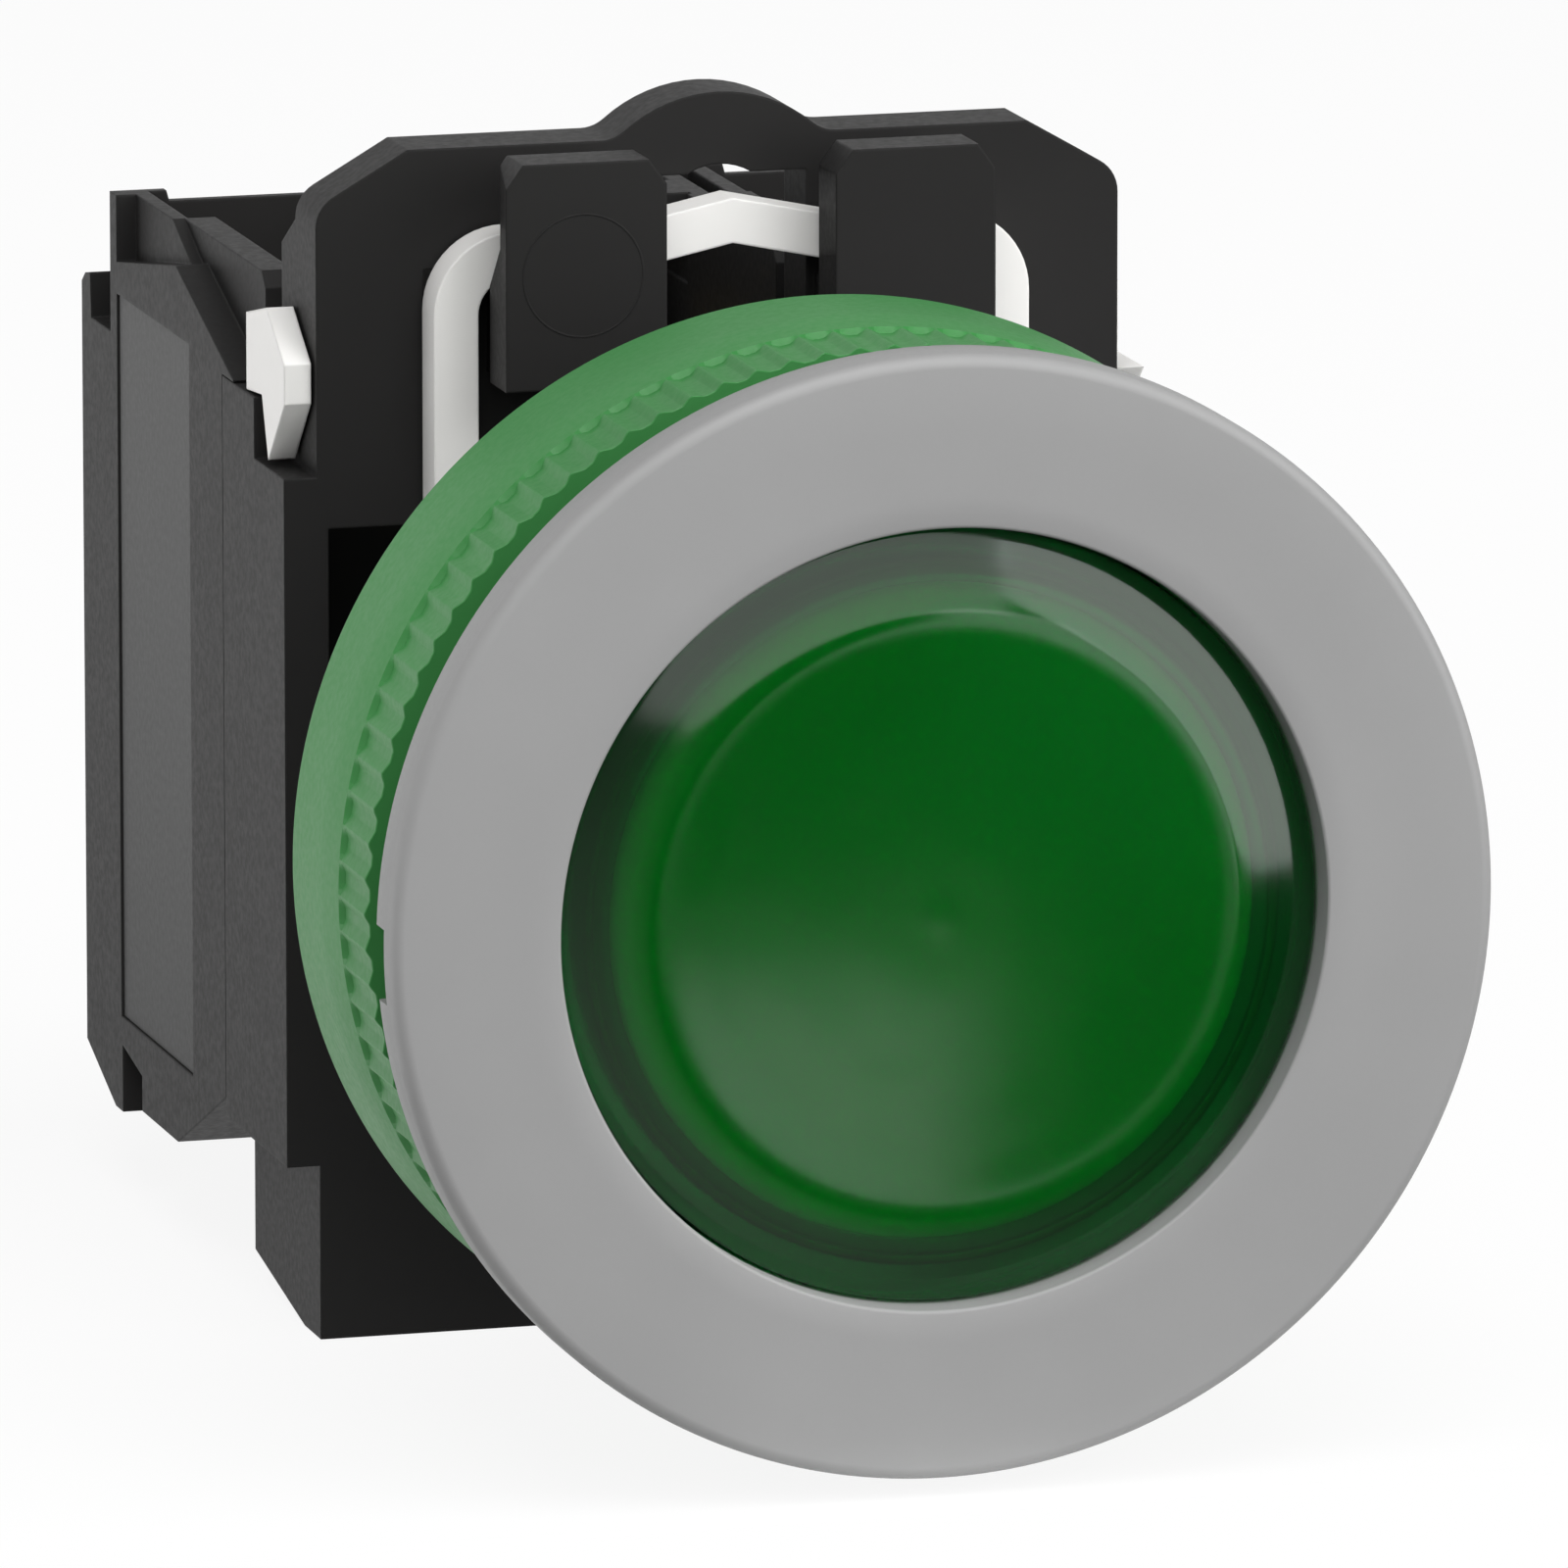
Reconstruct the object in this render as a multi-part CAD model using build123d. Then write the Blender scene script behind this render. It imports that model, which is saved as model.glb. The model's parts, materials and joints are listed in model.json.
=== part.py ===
from build123d import *
import math
import os

# Illuminated push button for a 30.5 mm panel hole: a flush head with a green lens, a knurled
# clamp ring, a fixing collar with a sliding lock, and three rear blocks (contact, lamp, contact).
# All sizes are millimetres. The button axis runs along Y through the origin, +Y points into the
# cabinet, +Z is up, and Y = 0 is the plane where the bezel seats on the panel.

# Bezel and threaded barrel
bezel_radius = 18.0
bezel_thickness = 1.9
bezel_edge_chamfer = 0.4
bore_radius = 12.5
barrel_radius = 14.9
barrel_spare = 2.5
key_notch_width = 2.4
key_notch_depth = 1.0
key_notch_reach = 1.4
key_notch_angles = (182.0, 331.0)

# Panel gasket, let into the back of the bezel
gasket_inner_radius = 15.2
gasket_width = 1.2
gasket_thickness = 0.8

# Clamp ring behind the panel
panel_gap = 4.1
ring_length = 8.5
ring_radius = 17.47
ring_thread_clearance = 0.1
tooth_count = 96
tooth_radius = 17.3
tooth_depth = 0.2
tooth_length = 3.0
tooth_flat_share = 0.5
tooth_hollow_share = 0.2
tooth_hollow_rise = 0.05
ring_blend_length = 1.7

# Lens, diffuser and pusher
lens_clearance = 0.2
lens_recess = 0.95
lens_wall = 1.1
lens_roof = 1.3
lens_skirt_length = 6.4
lens_edge_chamfer = 0.25
lens_shoulder_radius = 10.9
lens_shoulder_drop = 0.38
lens_crest_radius = 9.5
lens_crest_height = 0.8
lens_dish_radius = 8.2
lens_dish_depth = 0.25
diffuser_radius = 10.3
diffuser_thickness = 0.8
slip = 0.1
over = 1.0
cup_wall = 1.35
cup_floor = 1.0
pusher_tube_radius = 7.3
pusher_tube_wall = 2.0
pusher_setback = 2.3
seal_length = 1.2

# Stem behind the barrel, grooved for the lock
stem_radius = 11.0
stem_sleeve_length = 4.0
stem_sleeve_wall = 1.2
stem_flange_radius = 13.9
stem_flange_thickness = 1.2
stem_tail_bore = 10.2
stem_tail_reach = 2.0
stem_tail_bore_start = 1.0
stem_sleeve_fit = 0.03
groove_front_gap = 0.2
groove_back_gap = 0.15
stem_running_clearance = 0.2
return_wire = 0.8
return_turns = 3
wire_sides = 6

# Fixing collar
tab_standoff = 4.3
tab_thickness = 2.0
tab_inner_x = 2.83
tab_width = 5.37
tab_bottom_z = 13.25
tab_chamfer_x = 0.58
tab_chamfer_z = 0.8
tab_undercut = 0.35
tab_undercut_start_z = 16.4
tab_undercut_full_z = 17.6
neck_margin = 0.4
neck_top_z = 16.0
collar_plate = 2.6
collar_depth = 8.0
collar_half_width = 13.5
collar_top_z = 20.64
collar_shoulder_x = 10.42
collar_shoulder_slope = 30.0
collar_corner_round = 1.2
hump_radius = 4.95
hump_top_z = 22.07
hump_blend = 1.2
waist_step = 1.1
waist_top_z = 10.05
waist_bottom_z = -12.73
waist_wall = 1.48
band_wall = 1.2
band_depth = 4.4
band_front_z = 18.1
band_rear_z = 17.05
post_wall = 1.05
post_start = 3.85
post_top_z = 12.05
side_opening_half_height = 8.35
collar_bore_clearance = 0.2
window_half_width = 2.94
arm_slot_margin = 0.3
window_top_z = 19.4
window_crest_half_width = 1.07
window_crest_height = 0.3
foot_bottom_z = -18.53
foot_depth = 8.6
foot_flat_depth = 2.1
foot_rear_z = -17.39
foot_wall = 1.3

# Locking yoke
yoke_thickness = 1.5
yoke_front_clearance = 0.25
yoke_back_clearance = 0.15
yoke_inset = 3.5
yoke_bar = 1.48
yoke_corner_radius = 2.7
yoke_top_z = 18.1
yoke_peak_z = 18.86
yoke_peak_half_width = 3.6
yoke_leg_bottom_z = -6.5
yoke_leg_clearance = 0.14
yoke_travel = 2.0
arm_width = 1.0
arm_bottom_z = 12.2
arm_top_z = 14.4
arm_depth = 0.65
arm_gap = 0.1
lug_width = 0.9
lug_side_gap = 0.1
lug_nose_setback = 0.3
lug_length = 4.9
lug_crest_run = 2.25
lug_tip_run = 2.1
lug_notch_run = 2.9
lug_rear_top_z = 14.65
lug_crest_z = 15.24
lug_nose_top_z = 13.75
lug_nose_bottom_z = 12.43
lug_tip_z = 10.25
lug_notch_z = 12.27
lug_rear_bottom_z = 12.1
stub_top_z = 12.25
stub_length = 3.4

# Collar screw
screw_shank_radius = 1.9
screw_head_radius = 3.3
screw_head_height = 2.0
screw_recess = 0.35
screw_fit = 0.15
screw_slot = 0.9

# Rear blocks
joint_gap = 0.05
block_gap = 0.08
block_depth = 19.15
block_wall = 1.05
skin_wall = 1.1
rail_top_z = 15.65
rail_lead = 1.5
rail_front_chamfer = 0.5
tower_lead = 4.0
tower_wall = 0.4
tower_notch_depth = 0.36
tower_notch_slope = 0.1
tower_notch_outer = 1.85
tower_notch_inner = 1.6
back_top_z = 12.3
back_shoulder_z = 12.95
back_chamfer_y = 0.5
back_chamfer_z = 0.35
back_bottom_z = -14.1
block_bottom_z = -15.0
block_heel_z = -15.6
heel_slope_lead = 3.7
heel_flat_lead = 1.0
block_chin_z = -12.1
block_chin_depth = 6.55
skin_crest_z = 14.65
skin_crest_depth = 6.1
skin_rear_z = 13.4
skin_crest_flat = 0.65
skin_crest_drop = 0.1
inner_step_depth = 9.3
outer_step_recess = 0.7
rear_wall_outer = 1.22
rear_wall_inner = 0.9
rear_bay_floor_z = 12.6
neighbour_recess = 0.3
cross_bar_start = 9.65
cross_bar_depth = 2.5
cross_bar_height = 1.0
label_end_lead = 0.9
side_notch_top_z = 12.9
side_notch_bottom_z = 10.9
side_notch_length = 2.7
side_notch_flare = 0.25
heel_notch_rear_rise = 0.8
heel_notch_front_rise = 0.3
chamber_half_height = 6.6
bay_floor_z = 7.5
front_wall_top_z = 12.0
front_wall_rim = 0.1

# Terminals
terminal_z = 9.9
terminal_screw_radius = 1.7
terminal_head_radius = 2.3
terminal_head_height = 1.9
terminal_shank_length = 6.7
terminal_well_radius = 1.9
terminal_slot = 0.7
strip_thickness = 0.8
strip_inset = 0.2
strip_inner_z = 3.2
strip_outer_z = 11.9
strip_setback = 3.7
strip_slot_margin = 0.5
clamp_thickness = 1.0
clamp_side_gap = 0.34
clamp_half_height = 1.9

# Contacts
contact_gap = 3.6
bridge_thickness = 0.7
bridge_half_width = 1.7
bridge_half_length = 4.8
bridge_corner_round = 0.5
plunger_head = 1.5
plunger_head_reach = 9.6
plunger_head_inner = 5.2
plunger_head_half_height = 2.2
plunger_shank_inner = 7.4
plunger_half_height = 1.5
plunger_gap = 0.1
contact_wire = 0.45
contact_spring_radius = 1.0
contact_turns = 3

# Lamp
lamp_radius = 3.9
lamp_length = 7.6
lamp_tip_slope_x = 1.4
lamp_tip_slope_y = 1.7
lamp_base_radius = 4.6
lamp_base_length = 1.6
board_thickness = 1.2
board_side_gap = 0.29
board_half_height = 6.2

# Blank side labels
label_depth = 9.8
label_half_height = 12.33
label_pocket = 0.5
label_recess = 0.09
label_gap = 0.03

# Widths that follow the collar, and stations along the axis
waist_half_width = collar_half_width + waist_step
yoke_half_width = collar_half_width - yoke_inset
block_width = (2 * waist_half_width - 2 * block_gap) / 3
chamber_half_width = block_width / 2 - block_wall
board_half_width = chamber_half_width - board_side_gap
clamp_half_width = chamber_half_width - skin_wall / 2 - clamp_side_gap
strip_half_width = clamp_half_width - strip_inset
bezel_front = -bezel_thickness
ring_front = panel_gap
ring_rear = ring_front + ring_length
barrel_end = ring_rear + barrel_spare
stem_shoulder = barrel_end + stem_flange_thickness
tab_front = stem_shoulder + tab_standoff
tab_back = tab_front + tab_thickness
yoke_front = tab_back + yoke_front_clearance
yoke_back = yoke_front + yoke_thickness
plate_front = yoke_back + yoke_back_clearance
plate_back = plate_front + collar_plate
collar_back = plate_front + collar_depth
band_back = plate_front + band_depth
block_front = collar_back + joint_gap
block_back = block_front + block_depth
tower_back = block_back - tower_lead
bay_back = tower_back - tower_wall
rail_front = block_front - rail_lead
skin_crest_y = block_front + skin_crest_depth
inner_step_y = block_front + inner_step_depth
label_end = tower_back - label_end_lead
label_thickness = label_pocket - label_recess
stem_tail_end = plate_back + stem_tail_reach
lens_radius = bore_radius - lens_clearance
lens_inner_radius = lens_radius - lens_wall
lens_front = bezel_front + lens_recess
lens_crest = lens_front - lens_crest_height
lens_floor = lens_crest + lens_roof
diffuser_front = lens_floor + slip
cup_front = diffuser_front + diffuser_thickness
cup_radius = lens_inner_radius - slip
cup_back = lens_front + lens_skirt_length + seal_length + 2 * slip
pusher_end = stem_tail_end - pusher_setback
strip_front = bay_back - strip_setback - strip_thickness
bridge_back = strip_front - contact_gap
bridge_front = bridge_back - bridge_thickness
plunger_front = pusher_end + plunger_gap


def front_plane(y):
    """Plane facing the viewer at depth y, with X to the right and Z up."""
    return Plane(origin=(0, y, 0), x_dir=(1, 0, 0), z_dir=(0, -1, 0))


def along_y(sketch, start, end):
    """Extrude an X-Z outline from one depth to another."""
    return extrude(front_plane(start) * sketch, amount=end - start, dir=(0, 1, 0))


def along_x(sketch, start, end):
    """Extrude a Y-Z outline from one X to another."""
    low = min(start, end)
    plane = Plane(origin=(low, 0, 0), x_dir=(0, 1, 0), z_dir=(1, 0, 0))
    return extrude(plane * sketch, amount=abs(end - start), dir=(1, 0, 0))


def tube(outer, inner, start, end):
    """Round tube about the button axis."""
    return along_y(Circle(outer) - Circle(inner), start, end)


def outline(*points):
    """Closed polygon from its corners."""
    return Polygon(*points, align=None)


def span_box(x0, x1, y0, y1, z0, z1):
    """Box between two opposite corners."""
    centre = ((x0 + x1) / 2, (y0 + y1) / 2, (z0 + z1) / 2)
    return Pos(*centre) * Box(abs(x1 - x0), abs(y1 - y0), abs(z1 - z0))


def turned(profile):
    """Turn a radius-Y profile about the button axis."""
    return revolve(profile, axis=Axis.Y, revolution_arc=360)


def coil(mean_radius, wire, turns, start, end, x=0.0):
    """Open coil spring of round wire along Y between two flat seats."""
    rise = end - start - wire
    path = Helix(pitch=rise / turns, height=rise, radius=mean_radius)
    section = Plane(origin=path @ 0, z_dir=path % 0) * RegularPolygon(wire / 2, wire_sides)
    spring = sweep(section, path=path, is_frenet=True)
    return Pos(x, start + wire / 2, 0) * Rot(-90, 0, 0) * spring


def bezel():
    """Flange and barrel turned in one piece, with the gasket groove and two key notches."""
    width = bezel_radius - bore_radius
    flange = Pos(bore_radius + width / 2, bezel_front / 2) * Rectangle(width, bezel_thickness)
    outer_front = flange.vertices().sort_by(Axis.X)[-2:].sort_by(Axis.Y)[0]
    flange = chamfer(outer_front, bezel_edge_chamfer)
    wall = barrel_radius - bore_radius
    barrel = Pos(bore_radius + wall / 2, barrel_end / 2) * Rectangle(wall, barrel_end)
    body = turned(flange) + turned(barrel)
    groove = tube(gasket_inner_radius + gasket_width, gasket_inner_radius, -gasket_thickness, 0)
    body -= groove
    for angle in key_notch_angles:
        reach = bezel_radius - key_notch_reach
        notch = span_box(reach, bezel_radius + over, -key_notch_depth, over,
                         -key_notch_width / 2, key_notch_width / 2)
        body -= Rot(0, -angle, 0) * notch
    return body


def panel_gasket():
    """Flat rubber ring that fills the groove behind the bezel."""
    return tube(gasket_inner_radius + gasket_width, gasket_inner_radius, -gasket_thickness, 0)


def toothed_outline():
    """Outline of the knurl: each tooth has one flat side and one hollow side."""
    pitch = 2 * math.pi / tooth_count
    low = tooth_radius - tooth_depth
    points = []
    for tooth in range(tooth_count):
        crest = tooth * pitch
        valley = crest - tooth_flat_share * pitch
        hollow = crest + tooth_hollow_share * pitch
        for angle, radius in ((valley, low), (crest, tooth_radius), (hollow, low + tooth_hollow_rise)):
            points.append((radius * math.cos(angle), radius * math.sin(angle)))
    return outline(*points)


def clamp_ring():
    """Nut behind the panel: a knurled front and a plain rear band that eases into the teeth."""
    hole = barrel_radius + ring_thread_clearance
    tooth_end = ring_front + tooth_length
    blend_end = tooth_end + ring_blend_length
    knurl = along_y(toothed_outline() - Circle(hole), ring_front, tooth_end)
    band = make_face([
        Line((hole, tooth_end), (tooth_radius, tooth_end)),
        Spline(
            (tooth_radius, tooth_end),
            (ring_radius, blend_end),
            tangents=((ring_radius - tooth_radius, ring_blend_length / 2), (0, 1)),
        ),
        Line((ring_radius, blend_end), (ring_radius, ring_rear)),
        Line((ring_radius, ring_rear), (hole, ring_rear)),
        Line((hole, ring_rear), (hole, tooth_end)),
    ])
    return knurl + turned(band)


def lens():
    """Clear green cap: a dished middle inside a soft crest, and a skirt that covers the cup."""
    dish = lens_crest + lens_dish_depth
    edge = lens_radius - lens_edge_chamfer
    skirt_end = lens_front + lens_skirt_length
    section = make_face([
        Line((0, dish), (lens_dish_radius, dish)),
        ThreePointArc(
            (lens_dish_radius, dish),
            (lens_crest_radius, lens_crest),
            (lens_shoulder_radius, lens_crest + lens_shoulder_drop),
        ),
        Line((lens_shoulder_radius, lens_crest + lens_shoulder_drop), (edge, lens_front)),
        Line((edge, lens_front), (lens_radius, lens_front + lens_edge_chamfer)),
        Line((lens_radius, lens_front + lens_edge_chamfer), (lens_radius, skirt_end)),
        Line((lens_radius, skirt_end), (lens_inner_radius, skirt_end)),
        Line((lens_inner_radius, skirt_end), (lens_inner_radius, lens_floor)),
        Line((lens_inner_radius, lens_floor), (0, lens_floor)),
        Line((0, lens_floor), (0, dish)),
    ])
    return turned(section)


def diffuser():
    """White disc between the lens and the rim of the cup."""
    return along_y(Circle(diffuser_radius), diffuser_front, cup_front - slip / 2)


def pusher():
    """Cup that carries the lens, with a hollow tube that reaches the contact plungers."""
    floor_front = cup_back - cup_floor
    cup = tube(cup_radius, cup_radius - cup_wall, cup_front, cup_back)
    floor = tube(cup_radius, pusher_tube_radius - pusher_tube_wall, floor_front, cup_back)
    stalk = tube(pusher_tube_radius, pusher_tube_radius - pusher_tube_wall, floor_front, pusher_end)
    return cup + floor + stalk


def button_seal():
    """Rubber ring that follows the lens skirt on the cup."""
    start = lens_front + lens_skirt_length + slip
    return tube(lens_radius, cup_radius + slip / 2, start, start + seal_length)


def return_spring():
    """Coil between the cup floor and the shoulder of the stem."""
    mean = (pusher_tube_radius + bore_radius - stem_sleeve_wall) / 2
    return coil(mean, return_wire, return_turns, cup_back + slip / 2, barrel_end - slip / 2)


def stem():
    """Guide behind the barrel: sleeve, flange and a grooved tail that the collar locks on."""
    guide = pusher_tube_radius + stem_running_clearance
    sleeve_outer = bore_radius - stem_sleeve_fit
    body = tube(sleeve_outer, bore_radius - stem_sleeve_wall, barrel_end - stem_sleeve_length, barrel_end)
    body += tube(stem_flange_radius, guide, barrel_end, stem_shoulder)
    body += tube(stem_radius, guide, stem_shoulder, stem_tail_end)
    body -= along_y(Circle(stem_tail_bore), yoke_back + stem_tail_bore_start, stem_tail_end)
    flat = yoke_half_width - yoke_bar - yoke_leg_clearance
    for side in (-1, 1):
        body -= span_box(side * flat, side * (stem_radius + over), yoke_front - groove_front_gap,
                         yoke_back + groove_back_gap, -stem_radius, stem_radius)
    return body


def collar_plate_outline():
    """Front outline of the collar above its waist: clipped shoulders and a round hump."""
    drop = (collar_half_width - collar_shoulder_x) * math.tan(math.radians(collar_shoulder_slope))
    shoulder_z = collar_top_z - drop
    plate = outline(
        (-collar_half_width, 0),
        (collar_half_width, 0),
        (collar_half_width, shoulder_z),
        (collar_shoulder_x, collar_top_z),
        (-collar_shoulder_x, collar_top_z),
        (-collar_half_width, shoulder_z),
    )
    corners = [v for v in plate.vertices() if abs(v.Y - shoulder_z) < 1e-6]
    plate = fillet(corners, collar_corner_round)
    plate += Pos(0, hump_top_z - hump_radius) * Circle(hump_radius)
    seams = [v for v in plate.vertices() if abs(v.Y - collar_top_z) < 1e-6 and abs(v.X) < hump_radius]
    return fillet(seams, hump_blend)


def tab_outline():
    """Front outline of the right guide tab, its two upper corners clipped."""
    left = tab_inner_x
    right = tab_inner_x + tab_width
    return outline(
        (left, tab_bottom_z),
        (right, tab_bottom_z),
        (right, collar_top_z - tab_chamfer_z),
        (right - tab_chamfer_x, collar_top_z),
        (left + tab_chamfer_x, collar_top_z),
        (left, collar_top_z - tab_chamfer_z),
    )


def undercut_face(depth, z):
    """Plan of the wedge that undercuts the outer side of a tab, at height z."""
    outer = tab_inner_x + tab_width
    return Plane.XY.offset(z) * outline(
        (outer, tab_front),
        (outer + over, tab_front),
        (outer + over, tab_back),
        (outer - depth, tab_back),
    )


def guide_tab():
    """Right guide tab: a head in front of the lock, undercut outside, on a lower neck."""
    head = along_y(tab_outline(), tab_front, tab_back)
    outer = tab_inner_x + tab_width
    wedge_start = undercut_face(0, tab_undercut_start_z)
    wedge_full = undercut_face(tab_undercut, tab_undercut_full_z)
    head -= loft([wedge_start, wedge_full], ruled=True)
    head -= extrude(wedge_full, amount=collar_top_z - tab_undercut_full_z + over, dir=(0, 0, 1))
    neck = span_box(tab_inner_x + neck_margin, outer - neck_margin, tab_back, plate_front,
                    tab_bottom_z, neck_top_z)
    return head + neck


def window():
    """Opening between the tabs, arched a little in the middle of its top edge."""
    crest = window_top_z + window_crest_height
    half = window_crest_half_width
    arch = make_face([
        ThreePointArc((-half, window_top_z), (0, crest), (half, window_top_z)),
        Line((half, window_top_z), (half, window_top_z - over)),
        Line((half, window_top_z - over), (-half, window_top_z - over)),
        Line((-half, window_top_z - over), (-half, window_top_z)),
    ])
    slot = Pos(0, window_top_z / 2) * Rectangle(2 * window_half_width, window_top_z)
    return slot + arch


def collar_foot():
    """Lower box of the collar, sloped up behind its flat sole and hollow from the rear."""
    rear = plate_front + foot_depth
    side = outline(
        (plate_front, waist_bottom_z),
        (plate_front, foot_bottom_z),
        (plate_front + foot_flat_depth, foot_bottom_z),
        (rear, foot_rear_z),
        (rear, waist_bottom_z),
    )
    foot = along_x(side, -collar_half_width, collar_half_width)
    boss = screw_head_radius + foot_wall
    for hand in (-1, 1):
        foot -= span_box(hand * boss, hand * (collar_half_width - foot_wall),
                         plate_back, rear + over, foot_rear_z + foot_wall, waist_bottom_z - foot_wall)
    return foot


def collar_screw_y():
    """Depth of the collar screw's axis."""
    return (plate_front + collar_back) / 2


def side_band_outline():
    """Side view of the rim behind the plate's edge, sloped down to the rear."""
    return outline(
        (plate_front, waist_top_z - over),
        (band_back, waist_top_z - over),
        (band_back, band_rear_z),
        (plate_back, band_front_z),
        (plate_front, band_front_z),
    )


def collar_frame():
    """Fixing collar: plate, waist, side bands, posts, foot, guide tabs and its openings."""
    body = along_y(collar_plate_outline(), plate_front, plate_back)
    body += span_box(-waist_half_width, waist_half_width, plate_front, collar_back,
                     waist_bottom_z, waist_top_z)
    cavity = waist_half_width - waist_wall
    body -= span_box(-cavity, cavity, plate_back, collar_back + over, waist_bottom_z + waist_wall,
                     waist_top_z + over)
    for hand in (-1, 1):
        body += along_x(side_band_outline(), hand * (collar_half_width - band_wall),
                        hand * collar_half_width)
        body += span_box(hand * (waist_half_width - post_wall), hand * waist_half_width,
                         plate_front + post_start, collar_back, waist_top_z - over, post_top_z)
        body += span_box(hand * (collar_half_width - band_wall), hand * waist_half_width,
                         plate_back, band_back, waist_top_z - 2 * over, waist_top_z)
    body += collar_foot()
    tab = guide_tab()
    body += tab + mirror(tab, Plane.YZ)
    bore = stem_radius + collar_bore_clearance
    opening = Circle(bore) + Rectangle(2 * cavity, 2 * side_opening_half_height)
    body -= along_y(opening, plate_front - over, plate_back + over)
    body -= along_y(Circle(bore), plate_back, collar_back + over)
    body -= along_y(window(), plate_front - over, plate_back + over)
    arm_centre = yoke_half_width - yoke_bar / 2
    reach = arm_width / 2 + screw_fit
    for hand in (-1, 1):
        x = hand * arm_centre
        body -= span_box(x - reach, x + reach, plate_front - over, plate_back + over,
                         arm_bottom_z - arm_slot_margin, arm_top_z + yoke_travel + arm_slot_margin)
    y = collar_screw_y()
    shank = Pos(0, y, foot_bottom_z / 2) * Cylinder(screw_shank_radius + screw_fit, -foot_bottom_z)
    head = Pos(0, y, foot_bottom_z) * Cylinder(
        screw_head_radius + screw_fit, 2 * (screw_head_height + screw_recess))
    return body - shank - head


def yoke_face():
    """Inverted U of the lock seen from the front, with a shallow roof between the tabs."""
    outer = yoke_half_width
    inner = outer - yoke_bar
    arc_x = outer - yoke_corner_radius
    arc_z = yoke_top_z - yoke_corner_radius
    inner_radius = yoke_corner_radius - yoke_bar
    half = make_face([
        Line((0, yoke_peak_z), (yoke_peak_half_width, yoke_top_z)),
        Line((yoke_peak_half_width, yoke_top_z), (arc_x, yoke_top_z)),
        CenterArc((arc_x, arc_z), yoke_corner_radius, 0, 90),
        Line((outer, arc_z), (outer, yoke_leg_bottom_z)),
        Line((outer, yoke_leg_bottom_z), (inner, yoke_leg_bottom_z)),
        Line((inner, yoke_leg_bottom_z), (inner, arc_z)),
        CenterArc((arc_x, arc_z), inner_radius, 0, 90),
        Line((arc_x, yoke_top_z - yoke_bar), (yoke_peak_half_width, yoke_top_z - yoke_bar)),
        Line((yoke_peak_half_width, yoke_top_z - yoke_bar), (0, yoke_peak_z - yoke_bar)),
        Line((0, yoke_peak_z - yoke_bar), (0, yoke_peak_z)),
    ])
    return half


def lug_outline():
    """Side view of the left thumb lug: blunt nose, raised crest and a pointed lower end."""
    nose = plate_front + lug_nose_setback
    rear = nose + lug_length
    return outline(
        (rear, lug_rear_top_z),
        (nose + lug_crest_run, lug_crest_z),
        (nose, lug_nose_top_z),
        (nose, lug_nose_bottom_z),
        (nose + lug_tip_run, lug_tip_z),
        (nose + lug_notch_run, lug_notch_z),
        (rear, lug_rear_bottom_z),
    )


def stub_outline():
    """Side view of the right lug, cut flat above its lower half."""
    nose = plate_front + lug_nose_setback
    rear = nose + lug_length
    return outline(
        (rear, lug_rear_top_z),
        (nose + lug_notch_run, lug_rear_top_z),
        (nose + lug_notch_run, stub_top_z),
        (nose, stub_top_z),
        (nose + lug_tip_run, lug_tip_z),
        (nose + stub_length, lug_tip_z),
        (nose + stub_length, lug_rear_bottom_z),
        (rear, lug_rear_bottom_z),
    )


def locking_yoke():
    """Sliding lock: the U in front of the collar, two arms through it and two thumb lugs."""
    half = along_y(yoke_face(), yoke_front, yoke_back)
    arm_x = yoke_half_width - yoke_bar / 2
    arm_front = band_back + arm_gap
    arm_back = arm_front + arm_depth
    lug_inner = collar_half_width + lug_side_gap
    lug_outer = lug_inner + lug_width
    half += span_box(arm_x - arm_width / 2, arm_x + arm_width / 2, yoke_back - yoke_thickness / 3,
                     arm_back, arm_bottom_z, arm_top_z)
    half += span_box(arm_x - arm_width / 2, lug_outer, arm_front, arm_back, arm_bottom_z, arm_top_z)
    both = half + mirror(half, Plane.YZ)
    both += along_x(lug_outline(), -lug_outer, -lug_inner)
    return both + along_x(stub_outline(), lug_inner, lug_outer)


def collar_screw():
    """Slotted screw that clamps the collar on the stem from below."""
    head_bottom = foot_bottom_z + screw_recess
    head_top = head_bottom + screw_head_height
    tip = -stem_radius - slip
    y = collar_screw_y()
    head = Pos(0, y, (head_bottom + head_top) / 2) * Cylinder(screw_head_radius, screw_head_height)
    shank = Pos(0, y, (head_top + tip) / 2) * Cylinder(screw_shank_radius, tip - head_top)
    slot = span_box(-screw_head_radius - over, screw_head_radius + over, y - screw_slot / 2,
                    y + screw_slot / 2, head_bottom - over, head_bottom + screw_slot)
    return head + shank - slot


def block_centre(place):
    """X of a block's middle, for place -1 (left), 0 (centre) or 1 (right)."""
    return place * (block_width + block_gap)


def chamber_span(place):
    """Inner X limits of a block, inside its outer skin and its two walls."""
    centre = block_centre(place)
    low = centre - block_width / 2 + block_wall + (skin_wall if place < 0 else 0)
    high = centre + block_width / 2 - block_wall - (skin_wall if place > 0 else 0)
    return low, high


def contact_x(place):
    """X of the contacts and terminals of a block."""
    low, high = chamber_span(place)
    return (low + high) / 2


def rear_bay_span(place):
    """X limits of the wider rear end of a block's bay."""
    centre = block_centre(place)
    low = centre - block_width / 2 + (rear_wall_outer if place < 0 else rear_wall_inner)
    high = centre + block_width / 2 - (rear_wall_outer if place > 0 else rear_wall_inner)
    return low, high


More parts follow.
